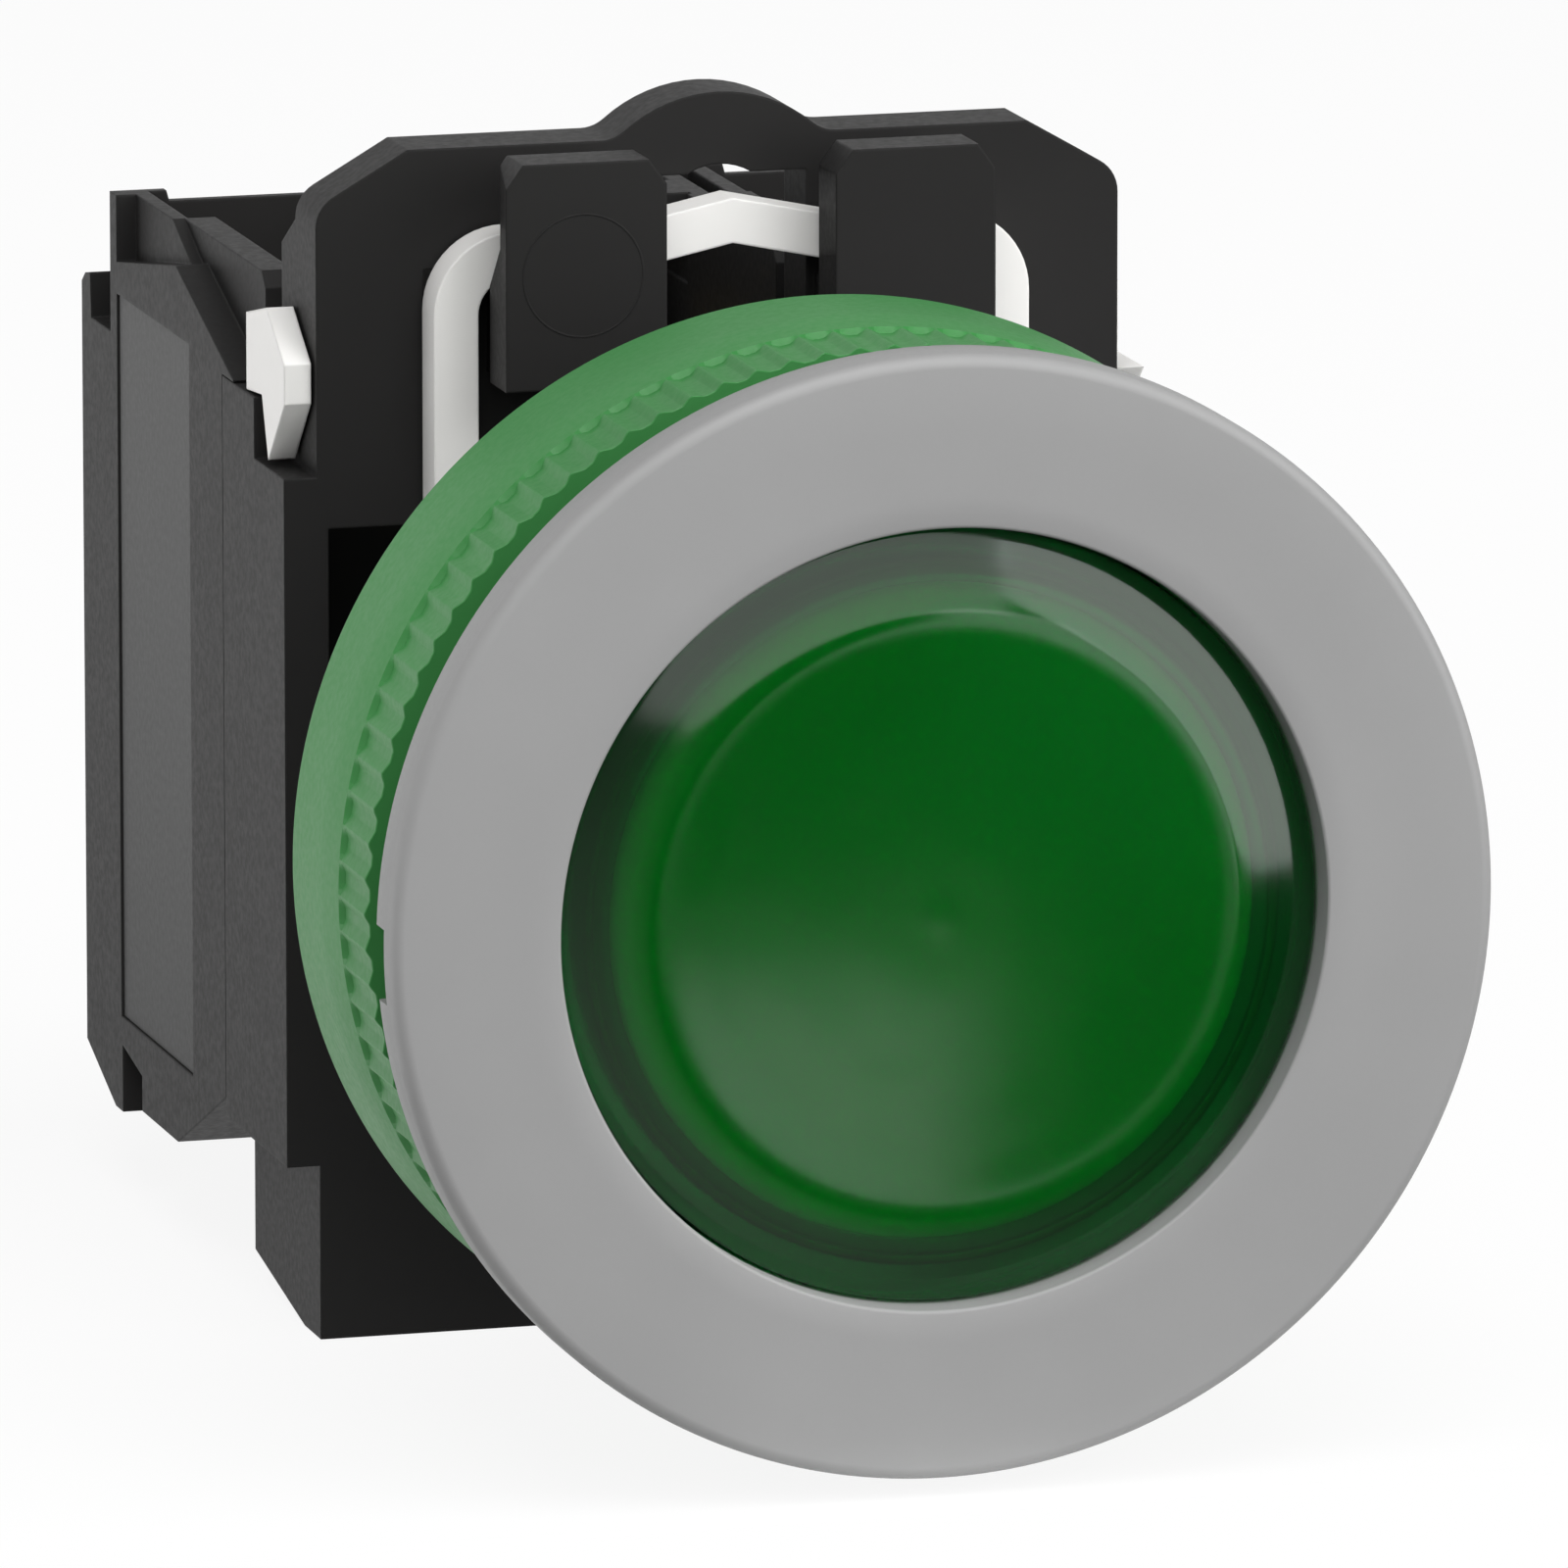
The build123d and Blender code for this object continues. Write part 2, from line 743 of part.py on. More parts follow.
def block_outline():
    """Side view of a block: rails on top, tower, sloped back, heel and chin."""
    heel = tower_back
    return outline(
        (block_front, block_chin_z),
        (block_front + block_chin_depth, block_bottom_z),
        (heel - heel_slope_lead, block_bottom_z),
        (heel - heel_flat_lead, block_heel_z),
        (heel, block_heel_z),
        (block_back, back_bottom_z),
        (block_back, back_top_z - back_chamfer_z),
        (block_back - back_chamfer_y, back_top_z),
        (tower_back, back_shoulder_z),
        (tower_back, rail_top_z),
        (rail_front + rail_front_chamfer, rail_top_z),
        (rail_front, rail_top_z - rail_front_chamfer),
        (rail_front, front_wall_top_z + front_wall_rim),
        (block_front, front_wall_top_z + front_wall_rim),
    )


def tower_notch(place):
    """Shallow notch in the top of a block's rear wall, between its two raised corners."""
    centre = block_centre(place)
    left = centre - block_width / 2 + (tower_notch_outer if place < 0 else tower_notch_inner)
    right = centre + block_width / 2 - (tower_notch_outer if place > 0 else tower_notch_inner)
    floor = rail_top_z - tower_notch_depth
    notch = outline(
        (left + tower_notch_slope, floor),
        (right - tower_notch_slope, floor),
        (right, rail_top_z),
        (right, rail_top_z + over),
        (left, rail_top_z + over),
        (left, rail_top_z),
    )
    return along_y(notch, bay_back - over, tower_back + over)


def cut_outer_side(body, place):
    """Step the outer face of an end block back above its skin, and notch its rear corners."""
    outer = block_centre(place) + place * block_width / 2
    beyond = outer + place * over
    top = rail_top_z + over
    crest_end = (skin_crest_y + skin_crest_flat, skin_crest_z - skin_crest_drop)
    deep = outline(
        (rail_front - over, top),
        (rail_front - over, post_top_z),
        (rail_front, post_top_z + skin_crest_drop),
        (skin_crest_y, skin_crest_z),
        crest_end,
        (inner_step_y, rail_top_z),
        (inner_step_y, top),
    )
    shallow = outline(
        (inner_step_y, top),
        (inner_step_y, rail_top_z),
        crest_end,
        (label_end, skin_rear_z),
        (label_end, top),
    )
    body -= along_x(deep, outer - place * skin_wall, beyond)
    body -= along_x(shallow, outer - place * outer_step_recess, beyond)
    notch_end = tower_back + side_notch_length
    upper_notch = outline(
        (tower_back, side_notch_bottom_z),
        (notch_end, side_notch_bottom_z),
        (notch_end + side_notch_flare, side_notch_top_z + over),
        (tower_back, side_notch_top_z + over),
    )
    lower_notch = outline(
        (tower_back - heel_flat_lead, block_heel_z - over),
        (tower_back - heel_flat_lead, back_bottom_z + heel_notch_rear_rise),
        (tower_back - heel_slope_lead, back_bottom_z + heel_notch_front_rise),
        (tower_back - heel_slope_lead, block_heel_z - over),
    )
    body -= along_x(upper_notch, outer - place * skin_wall, beyond)
    body -= along_x(lower_notch, outer - place * skin_wall, beyond)
    pocket = span_box(outer - place * label_pocket, beyond, label_end - label_depth, label_end,
                      -label_half_height, label_half_height)
    return body - pocket


def block_bays(place):
    """Hollows of a block: contact chamber, wire bays above and below, and the lead-in between its rails."""
    low, high = chamber_span(place)
    rear_low, rear_high = rear_bay_span(place)
    inner_front = block_front + block_wall
    above = rail_top_z + over
    bays = span_box(low, high, inner_front, bay_back, -chamber_half_height, chamber_half_height)
    bays += span_box(low, high, inner_front, bay_back, bay_floor_z, above)
    bays += span_box(low, high, rail_front - over, inner_front + over, front_wall_top_z, above)
    bays += span_box(rear_low, rear_high, inner_step_y, bay_back, rear_bay_floor_z, above)
    chin = outline(
        (inner_front, -bay_floor_z),
        (inner_front, block_chin_z + block_wall),
        (block_front + block_chin_depth, block_bottom_z + block_wall),
        (bay_back, block_bottom_z + block_wall),
        (bay_back, -bay_floor_z),
    )
    return bays + along_x(chin, low, high)


def block_housing(place):
    """Moulded housing of one rear block, open between its top rails."""
    centre = block_centre(place)
    left = centre - block_width / 2
    right = centre + block_width / 2
    body = along_x(block_outline(), left, right) - block_bays(place) - tower_notch(place)
    x = contact_x(place)
    slot_reach = strip_half_width + slip
    slot_height = bay_floor_z + strip_slot_margin
    body -= span_box(x - slot_reach, x + slot_reach, strip_front - slip,
                     strip_front + strip_thickness + slip, -slot_height, slot_height)
    for z in (-terminal_z, terminal_z):
        well = along_y(Circle(terminal_well_radius), bay_back - over, block_back + over)
        body -= Pos(x, 0, z) * well
    faces = [face for face, side in ((left, -1), (right, 1)) if side != place]
    for face in faces:
        inward = neighbour_recess if face < centre else -neighbour_recess
        body -= span_box(face, face + inward, inner_step_y, label_end, skin_rear_z, rail_top_z + over)
    inner_front = block_front + block_wall
    if place == 0:
        body -= along_y(Circle(lamp_base_radius + slip), block_front - over, inner_front + over)
        bar_front = block_front + cross_bar_start
        half = block_width / 2 - rear_wall_inner / 2
        return body + span_box(-half, half, bar_front, bar_front + cross_bar_depth,
                               rail_top_z - cross_bar_height, rail_top_z)
    gap = 2 * slip
    body -= span_box(place * (plunger_shank_inner - gap), place * (plunger_head_reach + gap),
                     block_front - over, inner_front + over, -plunger_half_height - gap,
                     plunger_half_height + gap)
    return cut_outer_side(body, place)


def label_plate(place):
    """Blank plate set a little below the outer face of an end block."""
    outer = block_centre(place) + place * block_width / 2
    inner = outer - place * label_pocket
    back = label_end - label_gap
    front = label_end - label_depth + label_gap
    half = label_half_height - label_gap
    return span_box(inner, inner + place * label_thickness, front, back, -half, half)


def contact_strips(place):
    """Two flat terminal strips that end as the fixed contacts of a block."""
    x = contact_x(place)
    height = strip_outer_z - strip_inner_z
    middle = (strip_outer_z + strip_inner_z) / 2
    strips = []
    for side in (-1, 1):
        plate = Pos(x, side * middle) * Rectangle(2 * strip_half_width, height)
        plate -= Pos(x, side * terminal_z) * Circle(terminal_screw_radius + slip)
        strips.append(along_y(plate, strip_front, strip_front + strip_thickness))
    return strips[0] + strips[1]


def terminal_clamps(place):
    """Two square clamp plates that the terminal screws press on the wire."""
    x = contact_x(place)
    start = strip_front + strip_thickness + slip / 2
    plates = []
    for side in (-1, 1):
        plate = Pos(x, side * terminal_z) * Rectangle(2 * clamp_half_width, 2 * clamp_half_height)
        plate -= Pos(x, side * terminal_z) * Circle(terminal_screw_radius + slip)
        plates.append(along_y(plate, start, start + clamp_thickness))
    return plates[0] + plates[1]


def terminal_screws(place):
    """Two slotted terminal screws, driven from the rear."""
    x = contact_x(place)
    seat = strip_front + strip_thickness + clamp_thickness + slip
    head_end = seat + terminal_head_height
    screws = []
    for z in (-terminal_z, terminal_z):
        head = along_y(Circle(terminal_head_radius), seat, head_end)
        shank = along_y(Circle(terminal_screw_radius), seat - terminal_shank_length, seat)
        slot = span_box(-terminal_head_radius - over, terminal_head_radius + over,
                        head_end - terminal_slot, head_end + over, -terminal_slot / 2, terminal_slot / 2)
        screws.append(Pos(x, 0, z) * (head + shank - slot))
    return screws[0] + screws[1]


def contact_plunger(place):
    """Slide that the pusher drives: a head inside the stem tail and a shank to the bridge."""
    head_back = plunger_front + plunger_head
    head = span_box(place * plunger_head_inner, place * plunger_head_reach, plunger_front, head_back,
                    -plunger_head_half_height, plunger_head_half_height)
    shank = span_box(place * plunger_shank_inner, place * plunger_head_reach, plunger_front,
                     bridge_front - slip / 2, -plunger_half_height, plunger_half_height)
    return head + shank


def contact_bridge(place):
    """Moving contact bar behind the plunger."""
    x = contact_x(place)
    bar = Pos(x, 0) * Rectangle(2 * bridge_half_width, 2 * bridge_half_length)
    bar = fillet(bar.vertices(), bridge_corner_round)
    return along_y(bar, bridge_front, bridge_back)


def contact_spring(place):
    """Coil that returns the bridge and the plunger."""
    return coil(contact_spring_radius, contact_wire, contact_turns, bridge_back + slip / 2,
                bay_back - slip / 2, x=contact_x(place))


def lamp():
    """Lamp capsule on the button axis: a body with a sloped nose on a wider base."""
    base_back = block_front + block_wall
    base_front = base_back - lamp_base_length
    tip = base_front - lamp_length
    nose = lamp_radius - lamp_tip_slope_x
    section = make_face([
        Line((0, tip), (nose, tip)),
        Line((nose, tip), (lamp_radius, tip + lamp_tip_slope_y)),
        Line((lamp_radius, tip + lamp_tip_slope_y), (lamp_radius, base_front)),
        Line((lamp_radius, base_front), (lamp_base_radius, base_front)),
        Line((lamp_base_radius, base_front), (lamp_base_radius, base_back)),
        Line((lamp_base_radius, base_back), (0, base_back)),
        Line((0, base_back), (0, tip)),
    ])
    return turned(section)


def lamp_board():
    """Circuit board behind the lamp."""
    start = block_front + block_wall + slip
    return span_box(-board_half_width, board_half_width, start, start + board_thickness,
                    -board_half_height, board_half_height)


def build_all():
    """Every separate piece of the push button, by name."""
    parts = {
        "bezel": bezel(),
        "panel_gasket": panel_gasket(),
        "clamp_ring": clamp_ring(),
        "lens": lens(),
        "diffuser": diffuser(),
        "pusher": pusher(),
        "button_seal": button_seal(),
        "return_spring": return_spring(),
        "stem": stem(),
        "collar_frame": collar_frame(),
        "locking_yoke": locking_yoke(),
        "collar_screw": collar_screw(),
        "lamp": lamp(),
        "lamp_board": lamp_board(),
    }
    for place, name in ((-1, "left"), (0, "centre"), (1, "right")):
        parts[f"block_housing_{name}"] = block_housing(place)
        parts[f"contact_strips_{name}"] = contact_strips(place)
        parts[f"terminal_clamps_{name}"] = terminal_clamps(place)
        parts[f"terminal_screws_{name}"] = terminal_screws(place)
    for place, name in ((-1, "left"), (1, "right")):
        parts[f"contact_plunger_{name}"] = contact_plunger(place)
        parts[f"contact_bridge_{name}"] = contact_bridge(place)
        parts[f"contact_spring_{name}"] = contact_spring(place)
        parts[f"label_plate_{name}"] = label_plate(place)
    return parts


os.makedirs("parts", exist_ok=True)
for node, shape in build_all().items():
    export_step(shape, f"parts/{node}.step")
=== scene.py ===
"""Studio scene of a flush illuminated push button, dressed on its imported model."""

import json
import logging
import math
from dataclasses import dataclass, field
from enum import Enum
from typing import Sequence

import bmesh
import bpy
import numpy as np
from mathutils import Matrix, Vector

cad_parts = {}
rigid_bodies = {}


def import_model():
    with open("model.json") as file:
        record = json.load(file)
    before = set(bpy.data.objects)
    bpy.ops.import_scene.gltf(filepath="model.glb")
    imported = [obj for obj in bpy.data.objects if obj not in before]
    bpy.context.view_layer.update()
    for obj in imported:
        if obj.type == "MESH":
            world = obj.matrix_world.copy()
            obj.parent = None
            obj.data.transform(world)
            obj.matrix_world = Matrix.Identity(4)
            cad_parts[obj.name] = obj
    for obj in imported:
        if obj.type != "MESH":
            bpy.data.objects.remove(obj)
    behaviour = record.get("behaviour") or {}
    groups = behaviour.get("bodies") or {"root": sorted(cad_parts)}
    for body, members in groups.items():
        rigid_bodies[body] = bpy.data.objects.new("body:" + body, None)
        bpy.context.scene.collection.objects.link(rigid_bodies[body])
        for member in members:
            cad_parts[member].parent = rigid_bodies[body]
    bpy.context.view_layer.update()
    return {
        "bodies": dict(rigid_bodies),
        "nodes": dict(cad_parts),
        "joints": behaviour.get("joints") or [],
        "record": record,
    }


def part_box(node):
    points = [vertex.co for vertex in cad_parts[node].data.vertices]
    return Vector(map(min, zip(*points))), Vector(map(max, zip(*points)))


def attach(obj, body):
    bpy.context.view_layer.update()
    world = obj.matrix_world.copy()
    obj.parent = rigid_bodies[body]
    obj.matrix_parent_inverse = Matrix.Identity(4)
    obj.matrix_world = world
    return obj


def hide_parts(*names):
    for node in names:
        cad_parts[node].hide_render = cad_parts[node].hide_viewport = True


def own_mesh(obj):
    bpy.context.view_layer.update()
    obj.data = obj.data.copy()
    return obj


log = logging.getLogger("push_button")

MM = 0.001
FULL_TURN = 2 * np.pi
MERGE_DISTANCE = 1e-8

Triple = tuple[float, float, float]
Pair = tuple[float, float]


class Body(Enum):
    """Moving groups that the made pieces ride, by the names that the frame gives them."""

    HOUSING = "housing"
    BUTTON = "button"


class Slot(Enum):
    """Material slots of the record."""

    BEZEL = "bezel_metal"
    GREEN = "green_plastic"
    LENS = "lens_green"
    DIFFUSER = "diffuser_white"
    BLACK = "black_plastic"
    DARK = "dark_plastic"
    WHITE = "white_plastic"
    LABEL = "label_grey"
    RUBBER = "seal_rubber"
    SPRING = "spring_steel"
    ZINC = "zinc_steel"
    BRASS = "contact_brass"
    LAMP = "lamp_lens"
    BOARD = "board_green"


class NodeSheet:
    """Small helper that lays out the nodes of one material or world."""

    def __init__(self, owner: bpy.types.ID, output: str) -> None:
        """Empties the owner's nodes and gives it an output.

        Args:
            owner: Material or world.
            output: Kind of its output node.
        """
        owner.use_nodes = True
        self.tree = owner.node_tree
        self.tree.nodes.clear()
        self.surface = self.add(output).inputs["Surface"]

    def add(self, kind: str, settings: dict | None = None, **values: object) -> bpy.types.Node:
        """Adds a node.

        Args:
            kind: Kind of the node, without the ShaderNode before it.
            settings: Properties of the node, set before its sockets are filled.
            values: Numbers or sockets by input, with underscores for the spaces of the names.

        Returns:
            The node.
        """
        node = self.tree.nodes.new(f"ShaderNode{kind}")
        for key, value in (settings or {}).items():
            setattr(node, key, value)
        for key, value in values.items():
            self.feed(node.inputs[key.replace("_", " ")], value)
        return node

    def feed(self, socket: bpy.types.NodeSocket, value: object) -> None:
        """Links an input to a socket, or sets it to a number or tuple.

        Args:
            socket: Input to fill.
            value: Output socket, number or tuple.
        """
        if isinstance(value, bpy.types.NodeSocket):
            self.tree.links.new(value, socket)
        else:
            socket.default_value = value

    def combine(self, kind: str, settings: dict | None, *terms: object) -> bpy.types.Node:
        """Adds a node whose inputs are filled in their order, for nodes that name them alike.

        Args:
            kind: Kind of the node, without the ShaderNode before it.
            settings: Properties of the node.
            terms: Numbers or sockets for its inputs.

        Returns:
            The node.
        """
        node = self.add(kind, settings)
        for socket, term in zip(node.inputs, terms):
            self.feed(socket, term)
        return node

    def math(self, operation: str, *terms: object) -> bpy.types.NodeSocket:
        """Adds a Math node.

        Args:
            operation: Blender's name of the operation.
            terms: Numbers or sockets, in the node's order.

        Returns:
            The result's socket.
        """
        return self.combine("Math", {"operation": operation}, *terms).outputs["Value"]

    def ray_share(self, *kinds: str) -> bpy.types.NodeSocket:
        """Factor that is 1 for rays of the given kinds.

        Args:
            kinds: Names of Light Path outputs.

        Returns:
            The factor's socket.
        """
        path = self.add("LightPath")
        total = path.outputs[kinds[0]]
        for name in kinds[1:]:
            total = self.math("MAXIMUM", total, path.outputs[name])
        return total


class FinishSheet(NodeSheet):
    """Nodes of one finish: a Principled shader and patterns on the object's own coordinates."""

    noise_middle: Pair = (0.3, 0.7)
    bevel_samples: int = 6

    def __init__(self, name: str) -> None:
        """Starts a material with a Principled shader on its output.

        Args:
            name: Name of the new material.
        """
        self.material = bpy.data.materials.new(name)
        super().__init__(self.material, "OutputMaterial")
        self.shader = self.add("BsdfPrincipled")
        self.feed(self.surface, self.shader.outputs["BSDF"])
        self.place = self.add("TexCoord").outputs["Object"]

    def noise(self, scale: float, detail: float) -> bpy.types.NodeSocket:
        """Noise on the object's own coordinates.

        Args:
            scale: Cells per metre.
            detail: Octaves of finer noise.

        Returns:
            The noise's factor socket.
        """
        return self.add("TexNoise", Vector=self.place, Scale=scale, Detail=detail).outputs["Fac"]

    def spread(self, socket: bpy.types.NodeSocket, low: float, high: float) -> bpy.types.NodeSocket:
        """Maps the middle of a noise to a range.

        Args:
            socket: Noise factor.
            low: Value at the low end of the noise's middle.
            high: Value at its high end.

        Returns:
            The mapped value's socket.
        """
        start, end = self.noise_middle
        node = self.add("MapRange", Value=socket, From_Min=start, From_Max=end,
                        To_Min=low, To_Max=high)
        return node.outputs["Result"]

    def tint(self, socket: bpy.types.NodeSocket, dark: Sequence[float],
             light: Sequence[float]) -> None:
        """Blends the base colour between two tints.

        Args:
            socket: Factor from 0 to 1.
            dark: Colour at 0.
            light: Colour at 1.
        """
        mix = self.add("Mix", {"data_type": "RGBA"}, Factor=socket, A=(*dark, 1.0), B=(*light, 1.0))
        self.feed(self.shader.inputs["Base Color"], mix.outputs["Result"])

    def relief(self, socket: bpy.types.NodeSocket, height: float, edge: float) -> None:
        """Adds bump from a height, over edges that are rounded in the shading.

        Args:
            socket: Height from 0 to 1.
            height: Height of the relief in metres.
            edge: Radius of the rounded edges in metres, or 0 for none.
        """
        bump = self.add("Bump", Strength=1.0, Distance=height, Height=socket)
        if edge > 0:
            bevel = self.add("Bevel", {"samples": self.bevel_samples}, Radius=edge)
            self.feed(bump.inputs["Normal"], bevel.outputs["Normal"])
        self.feed(self.shader.inputs["Normal"], bump.outputs["Normal"])


def shade(colour: Sequence[float], factor: float) -> tuple[float, ...]:
    """The colour times a factor, kept at or under 1.

    Args:
        colour: Red, green and blue.
        factor: Factor on each of them.

    Returns:
        The new colour.
    """
    return tuple(min(1.0, c * factor) for c in colour)


@dataclass(frozen=True)
class Finish:
    """Base of the finishes: a colour that drifts in soft clouds, and a fine grain that drives
    both the relief and the roughness. Lengths are in metres and scales in cells per metre."""

    name: str
    colour: Triple
    roughness: float = 0.5
    roughness_swing: float = 0.0
    tones: Pair = (0.97, 1.03)
    cloud_scale: float = 120.0
    cloud_detail: float = 3.0
    grain_scale: float = 4000.0
    grain_detail: float = 2.0
    height: float = 0.0012 * MM
    edge: float = 0.0
    specular: float = 0.5

    def levels(self) -> dict[str, float]:
        """Uniform numbers for the shader's own sockets.

        Returns:
            Number by name of the socket.
        """
        return {"Specular IOR Level": self.specular}

    def material(self) -> bpy.types.Material:
        """Builds the finish.

        Returns:
            The node material.
        """
        sheet = FinishSheet(self.name)
        cloud = sheet.spread(sheet.noise(self.cloud_scale, self.cloud_detail), 0.0, 1.0)
        sheet.tint(cloud, *(shade(self.colour, tone) for tone in self.tones))
        for key, value in self.levels().items():
            sheet.feed(sheet.shader.inputs[key], value)
        grain = sheet.noise(self.grain_scale, self.grain_detail)
        rough, swing = self.roughness, self.roughness_swing
        sheet.feed(sheet.shader.inputs["Roughness"],
                   sheet.spread(grain, rough - swing, rough + swing) if swing else rough)
        sheet.relief(grain, self.height, self.edge)
        return sheet.material


@dataclass(frozen=True)
class MouldedPlastic(Finish):
    """Opaque plastic with a fine spark-eroded grain, faint mottling and softened edges."""

    roughness_swing: float = 0.05
    tones: Pair = (0.96, 1.04)
    cloud_scale: float = 180.0
    edge: float = 0.12 * MM


@dataclass(frozen=True)
class SatinMetal(Finish):
    """Blasted metal with a very fine grain and a little colour drift."""

    roughness: float = 0.45
    roughness_swing: float = 0.04
    grain_scale: float = 5000.0
    grain_detail: float = 3.0
    height: float = 0.0015 * MM
    metallic: float = 1.0

    def levels(self) -> dict[str, float]:
        """Uniform numbers for the shader's own sockets.

        Returns:
            Number by name of the socket.
        """
        return super().levels() | {"Metallic": self.metallic}


@dataclass(frozen=True)
class ClearPlastic(Finish):
    """Tinted transparent plastic with a polished, slightly softened surface and a little body
    colour."""

    roughness: float = 0.1
    roughness_swing: float = 0.01
    cloud_scale: float = 90.0
    cloud_detail: float = 2.0
    grain_scale: float = 700.0
    height: float = 0.0008 * MM
    ior: float = 1.49
    clear: float = 0.94

    def levels(self) -> dict[str, float]:
        """Uniform numbers for the shader's own sockets.

        Returns:
            Number by name of the socket.
        """
        return super().levels() | {"Transmission Weight": self.clear, "IOR": self.ior}


@dataclass(frozen=True)
class FrostedPlastic(Finish):
    """Pale frosted plastic with an even, matt surface, as over a lamp."""

    roughness: float = 0.6
    tones: Pair = (0.97, 1.0)
    cloud_scale: float = 200.0
    cloud_detail: float = 2.0
    grain_scale: float = 3000.0
    height: float = 0.003 * MM


FINISHES = {
    Slot.BEZEL: SatinMetal("satin_bezel", (0.297, 0.297, 0.297), roughness=0.55, metallic=0.1,
                           specular=0.25),
    Slot.GREEN: MouldedPlastic("green_ring", (0.033, 0.2, 0.045), tones=(0.98, 1.02), edge=0.0,
                               specular=0.38),
    Slot.LENS: ClearPlastic("green_lens", (0.0, 0.28, 0.036)),
    Slot.DIFFUSER: FrostedPlastic("frosted_diffuser", (0.8, 0.8, 0.8)),
    Slot.BLACK: MouldedPlastic("black_moulding", (0.015, 0.015, 0.016), roughness=0.45,
                               specular=0.35),
    Slot.DARK: MouldedPlastic("charcoal_moulding", (0.0195, 0.019, 0.0188), specular=0.09),
    Slot.WHITE: MouldedPlastic("white_moulding", (0.83, 0.82, 0.8), tones=(0.99, 1.01)),
    Slot.LABEL: MouldedPlastic("bare_label", (0.07, 0.07, 0.07), roughness=0.6, tones=(0.98, 1.02),
                               edge=0.0, specular=0.2),
    Slot.RUBBER: MouldedPlastic("seal_rubber", (0.02, 0.02, 0.02), roughness=0.75,
                                height=0.01 * MM),
    Slot.SPRING: SatinMetal("drawn_wire", (0.55, 0.55, 0.55), roughness=0.3),
    Slot.ZINC: SatinMetal("zinc_plate", (0.62, 0.62, 0.6), roughness=0.32, edge=0.1 * MM),
    Slot.BRASS: SatinMetal("rolled_brass", (0.62, 0.45, 0.2), roughness=0.35, edge=0.05 * MM),
    Slot.LAMP: FrostedPlastic("lamp_dome", (0.75, 0.75, 0.7)),
    Slot.BOARD: MouldedPlastic("board_laminate", (0.02, 0.13, 0.05), roughness=0.35),
}


def curve_through(knots: Sequence[Pair], count: int) -> np.ndarray:
    """Smooth curve through knots: each span is a cubic whose end slopes are half the line
    between the neighbours on both sides.

    Args:
        knots: Points as radius and depth.
        count: Points in the result.

    Returns:
        Array of count points.
    """
    pts = np.asarray(knots, float)
    padded = np.vstack([2 * pts[0] - pts[1], pts, 2 * pts[-1] - pts[-2]])
    t = np.linspace(0, len(pts) - 1, count)
    i = np.minimum(t.astype(int), len(pts) - 2)
    f = (t - i)[:, None]
    a, b, c, d = (padded[i + k] for k in range(4))
    square = (2 * a - 5 * b + 4 * c - d) * f**2
    cube = (3 * (b - c) + d - a) * f**3
    return 0.5 * (2 * b + (c - a) * f + square + cube)


def corner(x: float, y: float, radius: float, start: float, end: float, count: int) -> np.ndarray:
    """Arc about a centre: centre plus radius times cosine and sine of angles spread evenly.

    Args:
        x: Centre's first coordinate.
        y: Centre's second coordinate.
        radius: Radius of the arc.
        start: First angle in degrees.
        end: Last angle in degrees.
        count: Points on the arc.

    Returns:
        Array of count points.
    """
    angle = np.radians(np.linspace(start, end, count))
    return np.stack([x + radius * np.cos(angle), y + radius * np.sin(angle)], -1)


def linked(name: str, data: bpy.types.ID) -> bpy.types.Object:
    """Makes an object and links it to the scene.

    Args:
        name: Name of the object.
        data: Mesh, camera or lamp that it shows.

    Returns:
        The object.
    """
    made = bpy.data.objects.new(name, data)
    bpy.context.scene.collection.objects.link(made)
    return made


def face_outwards(mesh: bpy.types.Mesh) -> None:
    """Merges double points, drops faces without area and points the others outwards.

    Args:
        mesh: Mesh to mend.
    """
    work = bmesh.new()
    work.from_mesh(mesh)
    bmesh.ops.remove_doubles(work, verts=work.verts, dist=MERGE_DISTANCE)
    bmesh.ops.dissolve_degenerate(work, edges=work.edges, dist=MERGE_DISTANCE)
    bmesh.ops.recalc_face_normals(work, faces=work.faces)
    work.to_mesh(mesh)
    work.free()


def smooth_to_crease(mesh: bpy.types.Mesh, crease: float) -> None:
    """Shades a mesh smooth up to a crease.

    Args:
        mesh: Mesh to shade.
        crease: Angle in degrees over which an edge stays sharp.
    """
    mesh.polygons.foreach_set("use_smooth", np.ones(len(mesh.polygons), bool))
    mesh.set_sharp_from_angle(angle=math.radians(crease))


def made_piece(name: str, points: np.ndarray, faces: Sequence[Sequence[int]],
               crease: float) -> bpy.types.Object:
    """Finished piece from points and faces.

    Args:
        name: Name of the piece.
        points: Points in millimetres.
        faces: Point numbers of each face.
        crease: Angle in degrees over which an edge stays sharp.

    Returns:
        The linked object.
    """
    mesh = bpy.data.meshes.new(name)
    mesh.from_pydata((points * MM).reshape(-1, 3).tolist(), [], faces)
    face_outwards(mesh)
    smooth_to_crease(mesh, crease)
    return linked(name, mesh)


